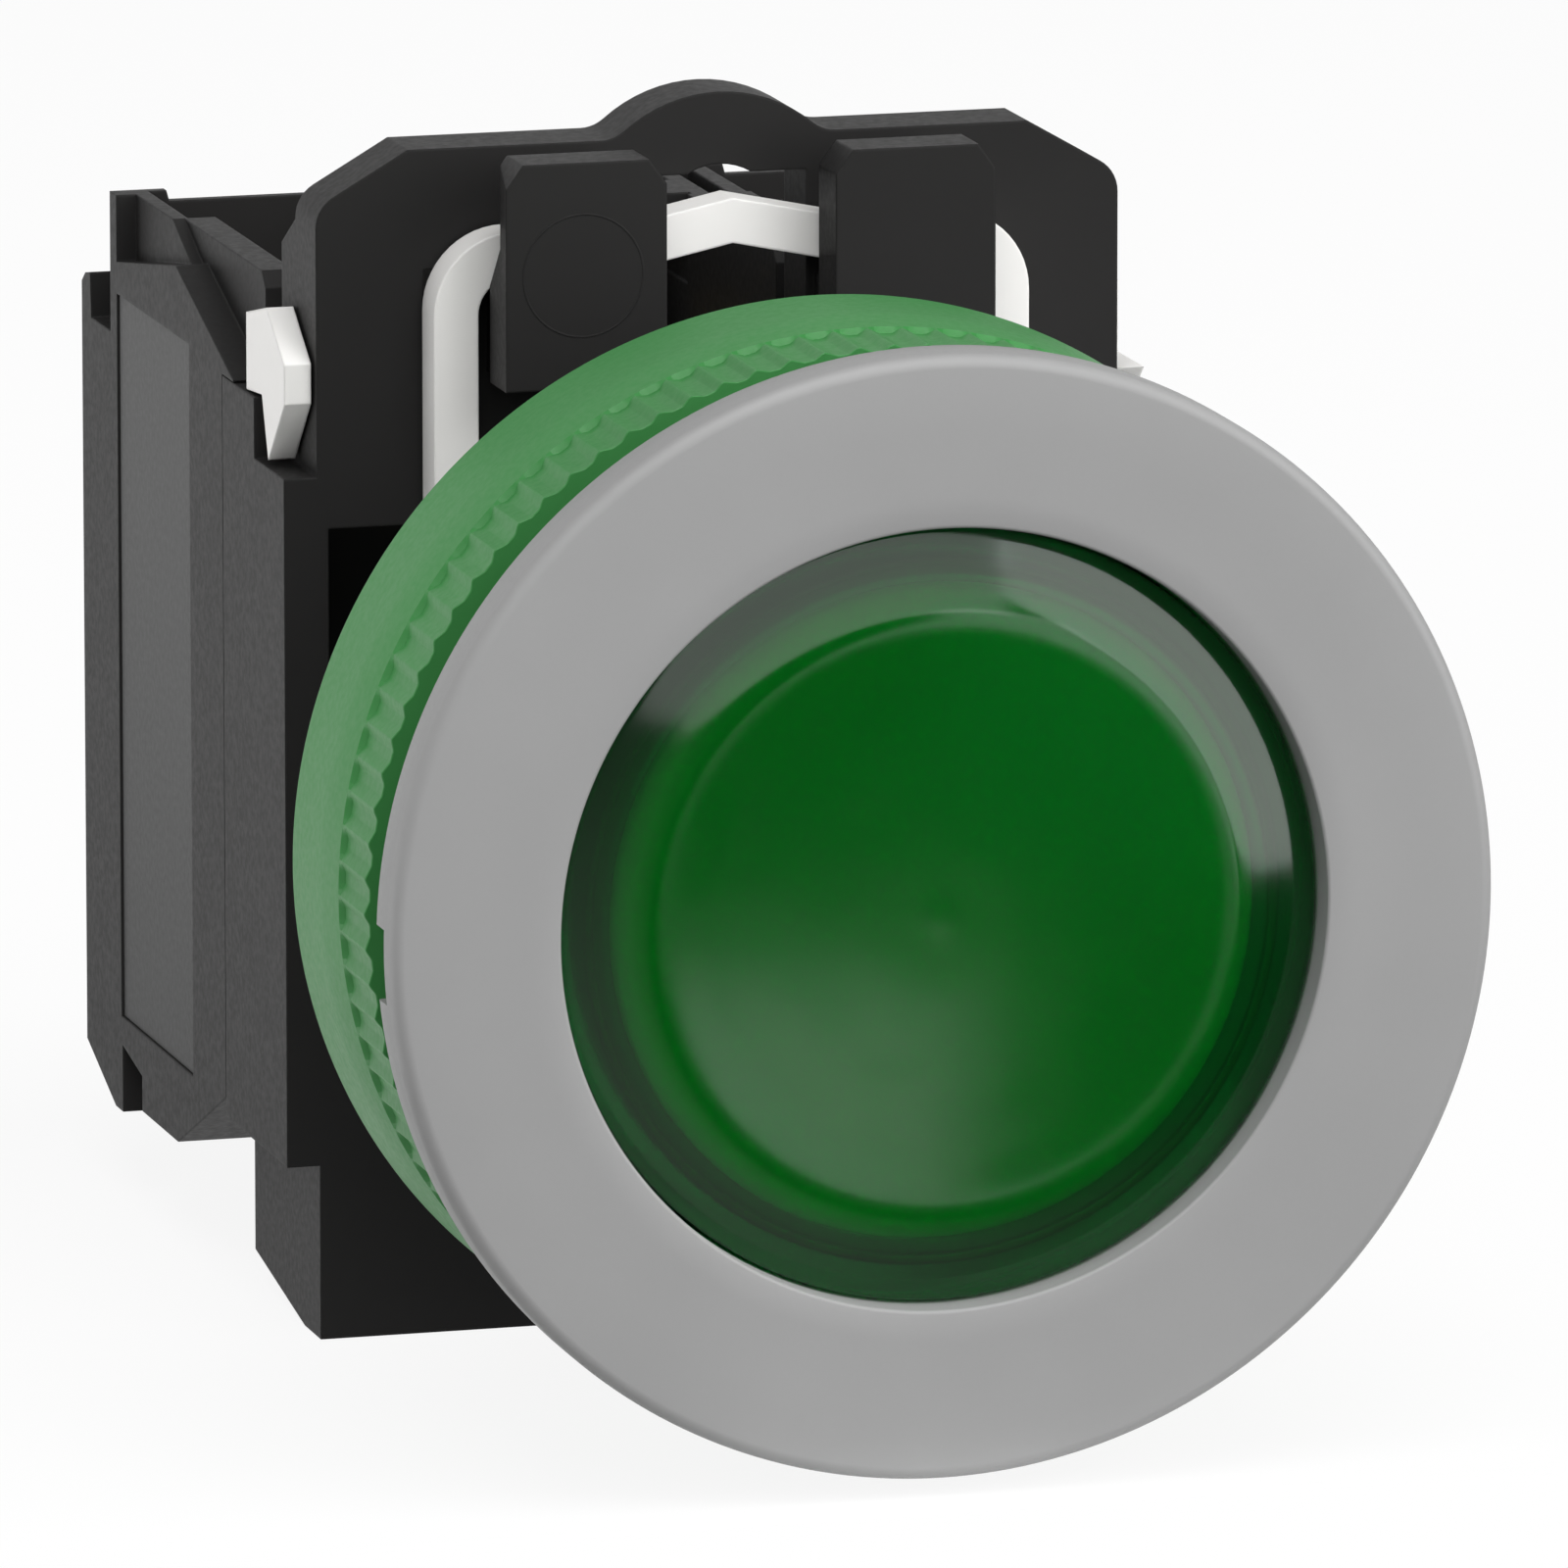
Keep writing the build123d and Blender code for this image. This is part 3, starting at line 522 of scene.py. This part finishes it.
def ring_surface(name: str, radius: np.ndarray, depth: np.ndarray, angle: np.ndarray,
                 crease: float) -> bpy.types.Object:
    """Closed surface of a ring about the button axis. The point at row i and column j is
    (radius cos angle, depth, radius sin angle), and both directions run round.

    Args:
        name: Name of the piece.
        radius: Radii in millimetres, rows by columns.
        depth: Depths along Y in millimetres, rows by columns.
        angle: Angles in radians, one for each column.
        crease: Angle in degrees over which an edge stays sharp.

    Returns:
        The finished object.
    """
    points = np.stack([radius * np.cos(angle), depth, radius * np.sin(angle)], -1)
    index = np.arange(radius.size).reshape(radius.shape)
    along = np.roll(index, -1, axis=0)
    quads = np.stack([index, np.roll(index, -1, axis=1), np.roll(along, -1, axis=1), along], -1)
    return made_piece(name, points, quads.reshape(-1, 4).tolist(), crease)


def turned(name: str, section: np.ndarray, columns: int, crease: float) -> bpy.types.Object:
    """Closed section turned once about the button axis.

    Args:
        name: Name of the piece.
        section: Radius and depth of each point, in millimetres.
        columns: Steps round the axis.
        crease: Angle in degrees over which an edge stays sharp.

    Returns:
        The finished object.
    """
    angle = np.linspace(0, FULL_TURN, columns, endpoint=False)
    radius, depth = (np.repeat(section[:, k:k + 1], columns, axis=1) for k in range(2))
    return ring_surface(name, radius, depth, angle, crease)


def turned_box(angle: float, reach: Pair, half_width: float, depth: Pair) -> np.ndarray:
    """Eight corners of a box that points outwards from the button axis.

    Args:
        angle: Direction in degrees, from +X towards +Z.
        reach: Nearest and farthest distance from the axis in millimetres.
        half_width: Half its width across that direction in millimetres.
        depth: Lowest and highest Y in millimetres.

    Returns:
        Array of eight corners in metres.
    """
    span = np.meshgrid(reach, (-half_width, half_width), depth, indexing="ij")
    r, w, y = (grid.ravel() for grid in span)
    a = math.radians(angle)
    x, z = r * math.cos(a) - w * math.sin(a), r * math.sin(a) + w * math.cos(a)
    return np.stack([x, y, z], -1) * MM


def cut_boxes(piece: bpy.types.Object, boxes: Sequence[np.ndarray], crease: float) -> None:
    """Cuts boxes out of a piece and keeps the result as its mesh.

    Args:
        piece: Piece to cut.
        boxes: Eight corners of each box, in metres.
        crease: Angle in degrees over which an edge stays sharp.
    """
    faces = [(0, 1, 3, 2), (4, 6, 7, 5), (0, 4, 5, 1), (2, 3, 7, 6), (0, 2, 6, 4), (1, 5, 7, 3)]
    cutters = []
    for corners in boxes:
        mesh = bpy.data.meshes.new("cutter")
        mesh.from_pydata(corners.tolist(), [], faces)
        face_outwards(mesh)
        cutters.append(linked("cutter", mesh))
        modifier = piece.modifiers.new("notch", "BOOLEAN")
        modifier.operation = "DIFFERENCE"
        modifier.solver = "EXACT"
        modifier.object = cutters[-1]
    graph = bpy.context.evaluated_depsgraph_get()
    old, piece.data = piece.data, bpy.data.meshes.new_from_object(piece.evaluated_get(graph))
    piece.modifiers.clear()
    bpy.data.meshes.remove(old)
    smooth_to_crease(piece.data, crease)
    for cutter in cutters:
        mesh = cutter.data
        bpy.data.objects.remove(cutter)
        bpy.data.meshes.remove(mesh)


@dataclass
class Bezel:
    """Flange and threaded barrel, turned in one piece. Sizes are in millimetres, as in the other
    pieces: depths along Y from the panel seat, radii from the button axis. The face radii, the
    rim depth and the bore depths are rows that only split a long face."""

    radius: float = 18.0
    thickness: float = 1.9
    bore: float = 12.5
    bore_round: float = 0.12
    face_radii: Pair = (13.5, 15.5)
    edge: float = 0.45
    rim_depth: float = -0.9
    back_round: float = 0.1
    barrel: float = 14.9
    length: float = 15.1
    end_chamfer: float = 0.4
    bore_depths: Pair = (10.0, 4.0)
    groove: Triple = (15.2, 16.4, 0.8)
    pitch: float = 1.5
    pitch_steps: int = 10
    thread_depth: float = 0.8
    thread_span: Pair = (0.9, 14.6)
    flank_slope: float = 1.25
    crest_flat: float = 0.1
    notch_angles: Pair = (182.0, 331.0)
    notch_inset: float = 1.4
    notch_overshoot: float = 1.0
    notch_half_width: float = 1.2
    notch_depths: Pair = (-1.0, 0.5)
    columns: int = 256
    crease: float = 35.0

    def profile(self) -> tuple[np.ndarray, np.ndarray]:
        """Section of the ring as radius and depth, and the share of thread at each point.

        Returns:
            The points, and their thread weights from 0 to 1.
        """
        front = -self.thickness
        inner, outer, deep = self.groove
        head = np.vstack([
            corner(self.bore + self.bore_round, front + self.bore_round, self.bore_round,
                   180, 270, 4),
            [[radius, front] for radius in self.face_radii],
            corner(self.radius - self.edge, front + self.edge, self.edge, 270, 360, 9),
            [[self.radius, self.rim_depth]],
            corner(self.radius - self.back_round, -self.back_round, self.back_round, 0, 90, 3),
            [[outer, 0.0], [outer, -deep], [inner, -deep], [inner, 0.0], [self.barrel, 0.0]],
        ])
        start, end = self.thread_span
        y = np.arange(start, end, self.pitch / self.pitch_steps)
        thread = np.stack([np.full_like(y, self.barrel), y], -1)
        tail = np.array([
            [self.barrel, end], [self.barrel - self.end_chamfer, self.length],
            [self.bore, self.length], *([self.bore, depth] for depth in self.bore_depths),
        ])
        run_in = np.clip((y - start) / self.pitch, 0, 1) * np.clip((end - y) / self.pitch, 0, 1)
        weight = np.concatenate([np.zeros(len(head)), run_in, np.zeros(len(tail))])
        return np.vstack([head, thread, tail]), weight

    def build(self) -> bpy.types.Object:
        """Turns the section and cuts the helix: the radius drops by the thread depth times a
        triangle wave of depth over pitch less the share of a turn. The wave is stretched and
        clipped, which leaves the crest and the root a little flat.

        Returns:
            The bezel piece.
        """
        points, weight = self.profile()
        angle = np.linspace(0, FULL_TURN, self.columns, endpoint=False)
        depth = np.repeat(points[:, 1:2], self.columns, axis=1)
        phase = (depth / self.pitch - angle / FULL_TURN) % 1.0
        flank = np.clip(np.abs(phase * 2 - 1) * self.flank_slope - self.crest_flat, 0, 1)
        radius = points[:, 0:1] - weight[:, None] * self.thread_depth * flank
        piece = ring_surface("bezel_turned", radius, depth, angle, self.crease)
        reach = (self.radius - self.notch_inset, self.radius + self.notch_overshoot)
        boxes = [turned_box(direction, reach, self.notch_half_width, self.notch_depths)
                 for direction in self.notch_angles]
        cut_boxes(piece, boxes, self.crease)
        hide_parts("bezel")
        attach(piece, Body.HOUSING.value)
        return piece


@dataclass
class ClampRing:
    """Knurled nut behind the panel. The flanks and steps of a tooth are shares of its pitch. The
    hole depth, the face radius and the two rows only split a long face."""

    front: float = 4.1
    rear: float = 12.6
    hole: float = 15.0
    hole_depth: float = 9.0
    hole_chamfer: float = 0.3
    face_radius: float = 16.3
    back_radius: float = 16.2
    radius: float = 17.47
    rear_round: float = 0.2
    teeth: int = 96
    tooth_radius: float = 17.3
    tooth_depth: float = 0.17
    tooth_length: float = 3.0
    tooth_edge: float = 0.03
    tooth_row: float = 1.2
    run_out: Pair = (-0.06, 0.08)
    swell: Pair = (0.11, 0.8)
    blend: float = 1.7
    band_row: float = 0.8
    round_flank: float = 0.38
    flat_flank: float = 0.35
    round_steps: tuple[float, ...] = (0.0, 0.12, 0.3, 0.5, 0.7, 0.88, 1.0)
    foot_steps: Triple = (-0.1, -0.02, 0.02)
    flat_steps: Pair = (0.82, 0.98)
    crease: float = 13.0

    def tooth_wave(self) -> tuple[np.ndarray, np.ndarray]:
        """Angles round the ring and how deep the knurl is cut at each. Within one tooth the cut
        grows along a cosine from the crest to the valley floor, stays there, and then falls
        straight to the next crest.

        Returns:
            Angles in radians, and the cut from 0 to 1.
        """
        flat_start = 1 - self.flat_flank
        share = np.concatenate([
            np.array(self.round_steps) * self.round_flank,
            flat_start + np.array(self.foot_steps),
            self.flat_steps,
        ])
        angle = (np.arange(self.teeth)[:, None] + share).ravel() * FULL_TURN / self.teeth
        fall = 0.5 - 0.5 * np.cos(np.pi * np.clip(share / self.round_flank, 0, 1))
        rise = np.clip((share - flat_start) / self.flat_flank, 0, 1)
        return angle, np.tile(fall * (1 - rise), self.teeth)

    def profile(self) -> np.ndarray:
        """Section of the ring: the hole, the front face, the teeth, the swell and the band behind
        them, and the rear face.

        Returns:
            Rows of radius, depth and the share of the knurl.
        """
        end = self.front + self.tooth_length
        before, past = self.run_out
        foot = (self.tooth_radius + self.tooth_edge, end + past)
        rise, along = self.swell
        swell = curve_through([
            foot, (self.tooth_radius + rise, end + along), (self.radius, end + self.blend),
            (self.radius, end + self.blend + self.band_row),
        ], 10)[1:]
        rear_round = corner(self.radius - self.rear_round, self.rear - self.rear_round,
                            self.rear_round, 0, 90, 4)
        plain_front = [
            (self.hole, self.rear), (self.hole, self.hole_depth),
            (self.hole, self.front + self.hole_chamfer),
            (self.hole + self.hole_chamfer, self.front), (self.face_radius, self.front),
        ]
        knurled = [
            (self.tooth_radius - self.tooth_edge, self.front),
            (self.tooth_radius, self.front + self.tooth_edge),
            (self.tooth_radius, self.front + self.tooth_row), (self.tooth_radius, end + before),
        ]
        plain_rear = np.vstack([[foot], swell, rear_round, [(self.back_radius, self.rear)]])
        return np.vstack([
            np.insert(np.array(rows), 2, share, axis=1)
            for rows, share in ((plain_front, 0.0), (knurled, 1.0), (plain_rear, 0.0))
        ])

    def build(self) -> bpy.types.Object:
        """Turns the section, with the radius less the tooth depth times the cut.

        Returns:
            The ring piece.
        """
        angle, cut = self.tooth_wave()
        section = self.profile()
        radius = section[:, 0:1] - section[:, 2:3] * self.tooth_depth * cut
        depth = np.repeat(section[:, 1:2], len(angle), axis=1)
        piece = ring_surface("clamp_ring_knurled", radius, depth, angle, self.crease)
        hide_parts("clamp_ring")
        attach(piece, Body.HOUSING.value)
        return piece


@dataclass
class Lens:
    """Clear cap with a dished middle inside a soft crest. The face is given by its radii and by
    how far it lies behind the crest at each. The floor radius and the wall depth are rows that
    only split a long face."""

    front: float = -0.95
    crest_rise: float = 0.8
    face: tuple[Pair, ...] = (
        (0.0, 0.25), (2.7, 0.23), (5.4, 0.17), (7.6, 0.085), (9.2, 0.01), (9.9, 0.06), (10.9, 0.36),
    )
    radius: float = 12.4
    rim_round: float = 0.18
    inner: float = 11.2
    floor: float = -0.45
    floor_radius: float = 6.0
    wall_depth: float = 2.0
    skirt: float = 5.45
    inner_round: float = 0.85
    columns: int = 192
    crease: float = 40.0

    def build(self) -> bpy.types.Object:
        """Turns the section from the middle of the dish over the crest and the skirt, and back
        along the inside to the middle.

        Returns:
            The lens piece.
        """
        top = self.front - self.crest_rise
        rim, turn = self.rim_round, self.inner_round
        face = curve_through([(radius, top + behind) for radius, behind in self.face]
                             + [(self.radius - rim, self.front)], 57)
        section = np.vstack([
            face,
            corner(self.radius - rim, self.front + rim, rim, 270, 360, 5)[1:],
            [[self.radius, self.wall_depth], [self.radius, self.skirt]],
            [[self.inner, self.skirt], [self.inner, self.wall_depth]],
            corner(self.inner - turn, self.floor + turn, turn, 0, -90, 9),
            [[self.floor_radius, self.floor], [0.0, self.floor]],
        ])
        piece = turned("lens_cap", section, self.columns, self.crease)
        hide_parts("lens")
        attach(piece, Body.BUTTON.value)
        return piece


@dataclass
class Diffuser:
    """White disc under the lens, with a soft front edge. The front radius is a row that only
    splits the face."""

    radius: float = 10.3
    front: float = -0.35
    front_radius: float = 5.0
    back: float = 0.4
    edge: float = 0.6
    columns: int = 160
    crease: float = 40.0

    def build(self) -> bpy.types.Object:
        """Turns the section from the middle of the front over the rounded edge to the back.

        Returns:
            The disc piece.
        """
        section = np.vstack([
            [[0.0, self.front], [self.front_radius, self.front]],
            corner(self.radius - self.edge, self.front + self.edge, self.edge, 270, 360, 9),
            [[self.radius, self.back], [0.0, self.back]],
        ])
        piece = turned("diffuser_disc", section, self.columns, self.crease)
        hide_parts("diffuser")
        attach(piece, Body.BUTTON.value)
        return piece


@dataclass
class EjectorMark:
    """Faint round witness of an ejector pin on the left guide tab."""

    centre: Pair = (-5.62, 16.96)
    radius: float = 2.0
    width: float = 0.1
    face: float = 20.6
    height: float = 0.015
    sunk: float = 0.02
    columns: int = 64
    crease: float = 60.0

    def build(self) -> bpy.types.Object:
        """Turns a flat trapezoid that stands on the tab's face, and moves the ring from the
        button axis to its centre.

        Returns:
            The mark.
        """
        half = self.width / 2
        section = np.array([[-half, self.sunk], [-half / 2, -self.height],
                            [half / 2, -self.height], [half, self.sunk]])
        piece = turned("ejector_mark", section + (self.radius, self.face), self.columns,
                       self.crease)
        points = np.empty(len(piece.data.vertices) * 3)
        piece.data.vertices.foreach_get("co", points)
        x, z = self.centre
        points = points.reshape(-1, 3) + np.array([x, 0.0, z]) * MM
        piece.data.vertices.foreach_set("co", points.ravel())
        piece.data.update()
        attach(piece, Body.HOUSING.value)
        return piece


@dataclass
class CoilSpring:
    """Open coil of round wire between two flat seats."""

    node: str
    joint: str
    wire: float
    stroke: float = 3.5
    turns: int = 3
    steps: int = 40
    sides: int = 12
    crease: float = 40.0

    def build(self) -> bpy.types.Object:
        """Carries a circle of wire along a helix: the centre line stands at the mean radius times
        cosine and minus sine of the angle, and rises evenly with it along Y. The circle lies
        between the outward direction and the one square to it and to the line.

        Returns:
            The coil piece.
        """
        low, high = (np.array(point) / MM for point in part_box(self.node))
        middle = (low + high) / 2
        mean = (high[0] - low[0] - self.wire) / 2
        rise = high[1] - low[1] - self.wire
        turn = np.linspace(0, FULL_TURN * self.turns, self.turns * self.steps + 1)
        outward = np.stack([np.cos(turn), np.zeros_like(turn), -np.sin(turn)], -1)
        line = outward * mean
        line[:, 1] = low[1] + self.wire / 2 + rise * turn / turn[-1]
        line += (middle[0], 0.0, middle[2])
        square = np.cross(np.gradient(line, axis=0), outward)
        square /= np.linalg.norm(square, axis=1, keepdims=True)
        around = np.linspace(0, FULL_TURN, self.sides, endpoint=False)[:, None]
        circle = np.cos(around) * outward[:, None] + np.sin(around) * square[:, None]
        points = line[:, None] + circle * self.wire / 2
        index = np.arange(len(line) * self.sides).reshape(-1, self.sides)
        beside = np.roll(index, -1, axis=1)
        quads = np.stack([index[:-1], beside[:-1], beside[1:], index[1:]], -1).reshape(-1, 4)
        caps = [index[0].tolist(), index[-1].tolist()]
        piece = made_piece(f"{self.node}_coil", points, quads.tolist() + caps, self.crease)
        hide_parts(self.node)
        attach(piece, Body.HOUSING.value)
        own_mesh(piece)
        return piece


@dataclass(frozen=True)
class SoftBox:
    """Rectangular lamp, with its place and size in metres and its power in watts."""

    name: str
    place: Triple
    size: Pair
    power: float

    def build(self, target: Triple) -> None:
        """Adds the lamp.

        Args:
            target: Point that it faces, in metres.
        """
        data = bpy.data.lights.new(self.name, "AREA")
        data.shape = "RECTANGLE"
        data.size, data.size_y = self.size
        data.energy = self.power
        lamp = linked(self.name, data)
        lamp.location = self.place
        aim = Vector(target) - Vector(self.place)
        lamp.rotation_euler = aim.to_track_quat("-Z", "Y").to_euler()


LAMPS = (
    SoftBox("key_box", (0.71, -0.57, 0.285), (0.87, 0.95), 9.0),
    SoftBox("front_box", (0.26, -0.65, 0.01), (0.15, 0.30), 0.24),
    SoftBox("top_box", (-0.12, -0.78, 0.45), (1.08, 0.62), 3.9),
    SoftBox("upper_box", (-0.05, -0.35, 0.85), (0.80, 0.50), 6.5),
    SoftBox("left_box", (-0.60, 0.28, -0.26), (0.50, 0.36), 2.8),
)


@dataclass
class Studio:
    """Camera, lamps, world and floor. Lengths are in metres, and angles in degrees."""

    eye: Triple = (-0.16690, -0.57009, 0.12535)
    yaw: float = 15.875
    pitch: float = 11.545
    lens_mm: float = 443.87
    sensor_mm: float = 36.0
    clip: Pair = (0.01, 20.0)
    target: Triple = (0.0, 0.015, 0.0)
    lamps: tuple[SoftBox, ...] = LAMPS
    floor: float = -0.01856
    floor_x: Pair = (-0.055, 0.35)
    floor_y: Pair = (-0.004, 0.45)
    floor_level: float = 0.9
    floor_glow: float = 0.9
    ambient: float = 0.2
    bright_side: Triple = (-0.7, 0.55, -0.45)
    room_span: Pair = (-0.65, 0.45)
    room_levels: Pair = (0.03, 1.0)

    def camera(self) -> None:
        """Places the camera at the photograph's viewing angle."""
        data = bpy.data.cameras.new("camera")
        data.sensor_width = self.sensor_mm
        data.lens = self.lens_mm
        data.clip_start, data.clip_end = self.clip
        camera = linked("camera", data)
        camera.location = self.eye
        camera.rotation_euler = (math.radians(90 - self.pitch), 0.0, math.radians(-self.yaw))
        bpy.context.scene.camera = camera

    def world(self) -> None:
        """White to the eye and through clear plastic. Reflections and the light on the object come
        from a room that is bright on the lower left and behind, and dim in front and on the right.
        """
        world = bpy.data.worlds.new("studio")
        bpy.context.scene.world = world
        sheet = NodeSheet(world, "OutputWorld")
        direction = sheet.add("TexCoord").outputs["Generated"]
        facing = sheet.combine("VectorMath", {"operation": "DOT_PRODUCT"}, direction,
                               self.bright_side)
        start, end = self.room_span
        low, high = self.room_levels
        room = sheet.add("MapRange", {"interpolation_type": "SMOOTHSTEP"},
                         Value=facing.outputs["Value"], From_Min=start, From_Max=end,
                         To_Min=low, To_Max=high)
        glossy = sheet.ray_share("Is Glossy Ray")
        level = sheet.math("MULTIPLY_ADD", glossy, 1 - self.ambient, self.ambient)
        dim = sheet.math("MULTIPLY", room.outputs["Result"], level)
        white = sheet.ray_share("Is Camera Ray", "Is Transmission Ray")
        light = sheet.add("Background", Color=(1, 1, 1, 1),
                          Strength=sheet.math("MAXIMUM", white, dim))
        sheet.feed(sheet.surface, light.outputs["Background"])

    def stage(self) -> None:
        """Pale floor that keeps a soft shadow. It starts just in front of the panel seat and runs
        backwards, so that hardly any of it shows in the lens."""
        mesh = bpy.data.meshes.new("floor")
        (x0, x1), (y0, y1), z = self.floor_x, self.floor_y, self.floor
        mesh.from_pydata([(x0, y0, z), (x1, y0, z), (x1, y1, z), (x0, y1, z)], [], [(0, 1, 2, 3)])
        floor = linked("floor", mesh)
        material = bpy.data.materials.new("floor")
        sheet = NodeSheet(material, "OutputMaterial")
        pale = (self.floor_level, self.floor_level, self.floor_level, 1)
        diffuse = sheet.add("BsdfDiffuse", Color=pale).outputs["BSDF"]
        glow = sheet.add("Emission", Color=(1, 1, 1, 1)).outputs["Emission"]
        white = sheet.ray_share("Is Camera Ray", "Is Transmission Ray", "Is Glossy Ray")
        share = sheet.math("MULTIPLY", white, self.floor_glow)
        mix = sheet.combine("MixShader", None, share, diffuse, glow)
        sheet.feed(sheet.surface, mix.outputs["Shader"])
        mesh.materials.append(material)

    def build(self) -> None:
        """Sets up the whole studio."""
        bpy.context.scene.view_settings.view_transform = "Standard"
        self.camera()
        for lamp in self.lamps:
            lamp.build(self.target)
        self.world()
        self.stage()


@dataclass
class PushButton:
    """The dressed push button on its frame."""

    frame: dict
    finishes: dict[Slot, bpy.types.Material] = field(default_factory=dict)

    def dress(self) -> None:
        """Gives every carried-over node the finish of its material slot."""
        for part in self.frame["record"]["subparts"]:
            node = self.frame["nodes"][part["node"]]
            node.data.materials.clear()
            node.data.materials.append(self.finishes[Slot(part["material_slot"])])
            log.info("dressed %s", part["node"])

    def build(self) -> None:
        """Builds the finishes, dresses the nodes and makes the finer pieces."""
        self.finishes = {slot: finish.material() for slot, finish in FINISHES.items()}
        self.dress()
        makers = (
            (Bezel(), Slot.BEZEL),
            (ClampRing(), Slot.GREEN),
            (Lens(), Slot.LENS),
            (Diffuser(), Slot.DIFFUSER),
            (EjectorMark(), Slot.DARK),
            (CoilSpring("return_spring", "button_press", 0.8), Slot.SPRING),
            (CoilSpring("contact_spring_left", "left_contact_slide", 0.45), Slot.SPRING),
            (CoilSpring("contact_spring_right", "right_contact_slide", 0.45), Slot.SPRING),
        )
        for maker, slot in makers:
            piece = maker.build()
            piece.data.materials.append(self.finishes[slot])
            log.info("built %s with %d faces", piece.name, len(piece.data.polygons))


def main() -> None:
    """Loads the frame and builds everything."""
    logging.basicConfig(level=logging.INFO)
    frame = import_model()
    Studio().build()
    PushButton(frame).build()


if __name__ == "__main__":
    main()
